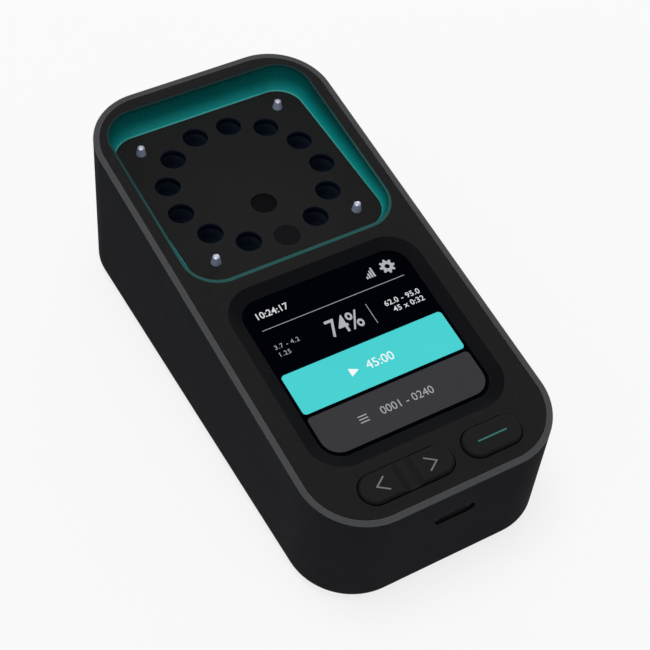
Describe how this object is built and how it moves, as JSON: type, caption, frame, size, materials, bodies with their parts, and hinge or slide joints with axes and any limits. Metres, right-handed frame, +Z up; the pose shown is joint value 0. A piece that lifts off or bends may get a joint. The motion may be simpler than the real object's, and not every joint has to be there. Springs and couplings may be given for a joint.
{
  "type": "portable molecular analyzer",
  "caption": "Hand-held wedge-shaped analyzer: a ring of tube wells in a bright tray, a small display, a page rocker, a select key and a socket in the front.",
  "frame": {"origin": "on the surface the feet stand on, under the middle of the case", "axes": "+X across, +Y towards the back where the wells are, -Y front with the socket, +Z up"},
  "size_m": [0.061, 0.124, 0.0426],
  "materials": {
    "case_plastic": "fine matt moulded plastic",
    "rim_plastic": "satin grey band",
    "panel_plastic": "smooth matt",
    "teal_plastic": "satin",
    "deck_coat": "matt deck",
    "disc_plastic": "smoky disc",
    "window_glass": "dark filter glass",
    "pin_steel": "turned and polished",
    "block_metal": "dark anodised",
    "hub_plastic": "black moulded",
    "board_laminate": "lacquered board",
    "ceramic": "bare ceramic",
    "sink_metal": "extruded",
    "fan_plastic": "moulded",
    "display_glass": "black-bordered cover glass",
    "screen_module": "display module",
    "key_plastic": "smooth matt",
    "mark_ink": "light moulded mark",
    "steel": "plain",
    "silicone": "moulded silicone",
    "battery_wrap": "shrink wrap",
    "tongue_plastic": "moulded with contacts",
    "brass": "turned",
    "foot_rubber": "matt"
  },
  "bodies": {
    "case": {"case_shell": "case_plastic", "rim_trim": "rim_plastic", "top_panel": "panel_plastic", "pocket_liner": "teal_plastic", "well_plate": "deck_coat", "reference_disc": "disc_plastic", "sensor_window": "window_glass", "guide_pins": "pin_steel", "thermal_block": "block_metal", "optics_hub": "hub_plastic", "optics_board": "board_laminate", "cooler_module": "ceramic", "heat_sink": "sink_metal", "fan_frame": "fan_plastic", "display_glass": "display_glass", "display_screen": "screen_module", "display_frame": "hub_plastic", "rocker_pin": "steel", "key_bracket": "hub_plastic", "key_pad": "silicone", "key_board": "board_laminate", "main_board": "board_laminate", "board_posts": "brass", "board_screws": "steel", "socket_shell": "steel", "socket_tongue": "tongue_plastic", "battery_pack": "battery_wrap", "base_cover": "case_plastic", "base_screws": "steel", "rubber_feet": "foot_rubber"},
    "page_rocker": {"page_rocker": "key_plastic", "page_marks": "mark_ink"},
    "select_key": {"select_key": "key_plastic", "select_light": "teal_plastic"},
    "fan_rotor": {"fan_rotor": "fan_plastic"}
  },
  "joints": [
    {"name": "page_rocker_tilt", "type": "hinge", "parent": "case", "child": "page_rocker", "pos_m": [-0.00845, -0.05356, 0.02734], "axis": [0, 0.9947, 0.1028], "range_deg": [-2.5, 2.5], "stiffness_Nm_per_rad": 0.18},
    {"name": "select_key_press", "type": "slide", "parent": "case", "child": "select_key", "axis": [0, 0.1028, -0.9947], "range_m": [0, 0.0006], "stiffness_N_per_m": 1500},
    {"name": "fan_spin", "type": "hinge", "parent": "case", "child": "fan_rotor", "pos_m": [0, 0.0312, 0.007], "axis": [0, 0, 1], "continuous": true}
  ]
}
